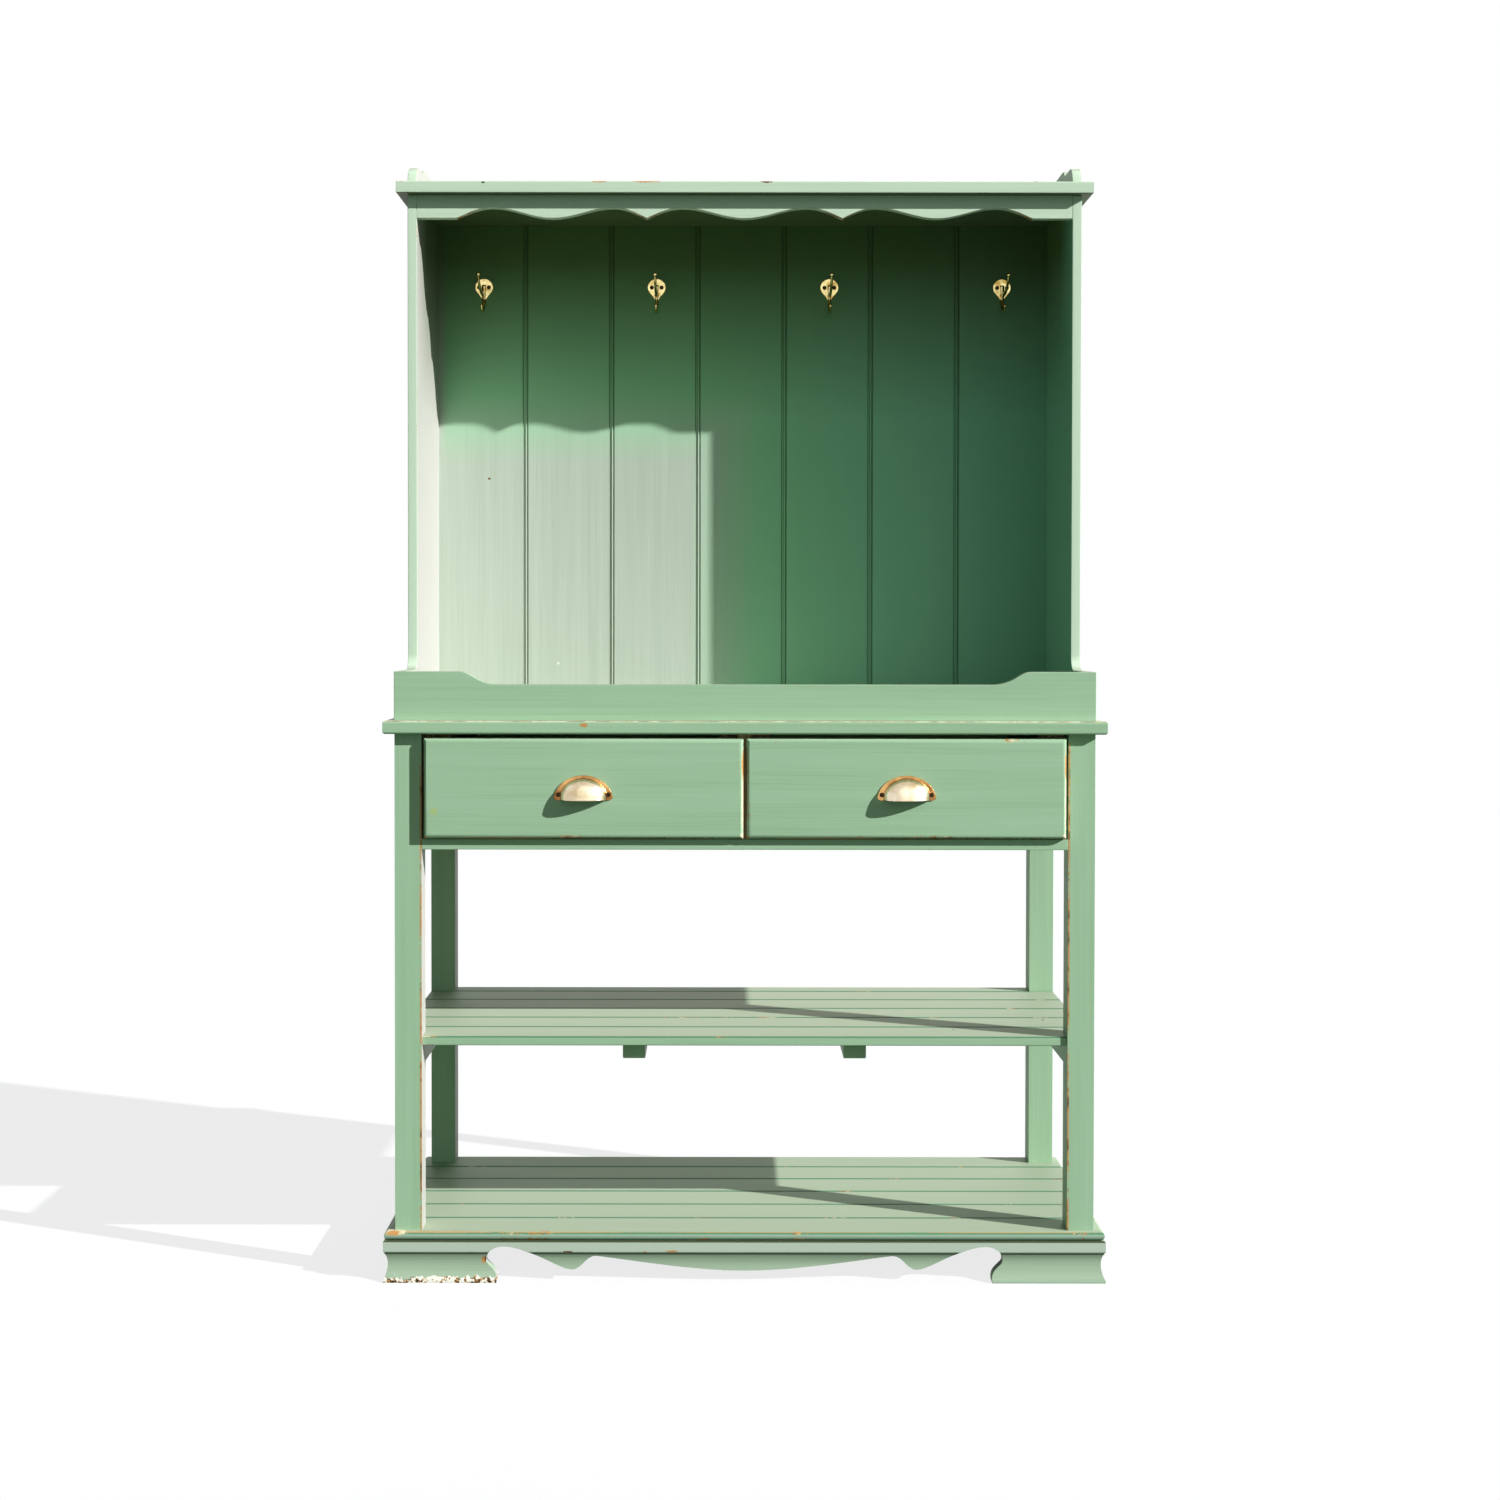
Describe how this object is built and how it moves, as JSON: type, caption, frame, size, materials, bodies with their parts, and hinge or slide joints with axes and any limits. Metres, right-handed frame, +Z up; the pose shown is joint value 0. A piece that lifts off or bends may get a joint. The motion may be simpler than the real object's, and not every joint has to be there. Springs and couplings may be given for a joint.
{
  "type": "potting bench with hutch",
  "caption": "Green painted wooden potting bench with a hutch: drawers and slatted shelves under the worktop, a beaded back with brass coat hooks above it, and bracket feet.",
  "frame": {"origin": "centre of the footprint of the whole bench, on the floor under its feet", "axes": "+Z up; +X to the right of someone who stands in front of the bench; +Y from the front to the back"},
  "size_m": [1.181, 0.519, 1.867],
  "materials": {
    "green_paint": "satin",
    "bare_pine": "matte",
    "aged_brass": "satin",
    "polished_brass": "polished",
    "screw_steel": "satin"
  },
  "bodies": {
    "stand": {"plinth_front": "green_paint", "plinth_left": "green_paint", "plinth_right": "green_paint", "plinth_rear": "green_paint", "base_slat_1": "green_paint", "base_slat_2": "green_paint", "base_slat_3": "green_paint", "base_slat_4": "green_paint", "base_slat_5": "green_paint", "base_slat_6": "green_paint", "leg_front_left": "green_paint", "leg_front_right": "green_paint", "leg_rear_left": "green_paint", "leg_rear_right": "green_paint", "shelf_rails": "green_paint", "shelf_battens": "green_paint", "shelf_slat_1": "green_paint", "shelf_slat_2": "green_paint", "shelf_slat_3": "green_paint", "shelf_slat_4": "green_paint", "shelf_slat_5": "green_paint", "shelf_slat_6": "green_paint", "side_aprons": "green_paint", "rear_apron": "green_paint", "drawer_rail": "green_paint", "countertop": "green_paint", "gallery_front": "green_paint", "hutch_side_left": "green_paint", "hutch_side_right": "green_paint", "back_board_1": "green_paint", "back_board_2": "green_paint", "back_board_3": "green_paint", "back_board_4": "green_paint", "back_board_5": "green_paint", "back_board_6": "green_paint", "back_board_7": "green_paint", "hutch_top": "green_paint", "valance": "green_paint", "top_scrolls": "green_paint", "plinth_blocks": "bare_pine", "drawer_divider": "bare_pine", "drawer_runners": "bare_pine", "hook_1": "polished_brass", "hook_2": "polished_brass", "hook_3": "polished_brass", "hook_4": "polished_brass", "hook_screws": "screw_steel"},
    "drawer_left": {"drawer_left_front": "green_paint", "drawer_left_sides": "bare_pine", "drawer_left_back": "bare_pine", "drawer_left_bottom": "bare_pine", "drawer_left_pull": "aged_brass", "drawer_left_screws": "screw_steel"},
    "drawer_right": {"drawer_right_front": "green_paint", "drawer_right_sides": "bare_pine", "drawer_right_back": "bare_pine", "drawer_right_bottom": "bare_pine", "drawer_right_pull": "aged_brass", "drawer_right_screws": "screw_steel"}
  },
  "joints": [
    {"name": "drawer_left_slide", "type": "slide", "parent": "stand", "child": "drawer_left", "axis": [0, -1, 0], "range_m": [0, 0.3]},
    {"name": "drawer_right_slide", "type": "slide", "parent": "stand", "child": "drawer_right", "axis": [0, -1, 0], "range_m": [0, 0.3]}
  ]
}
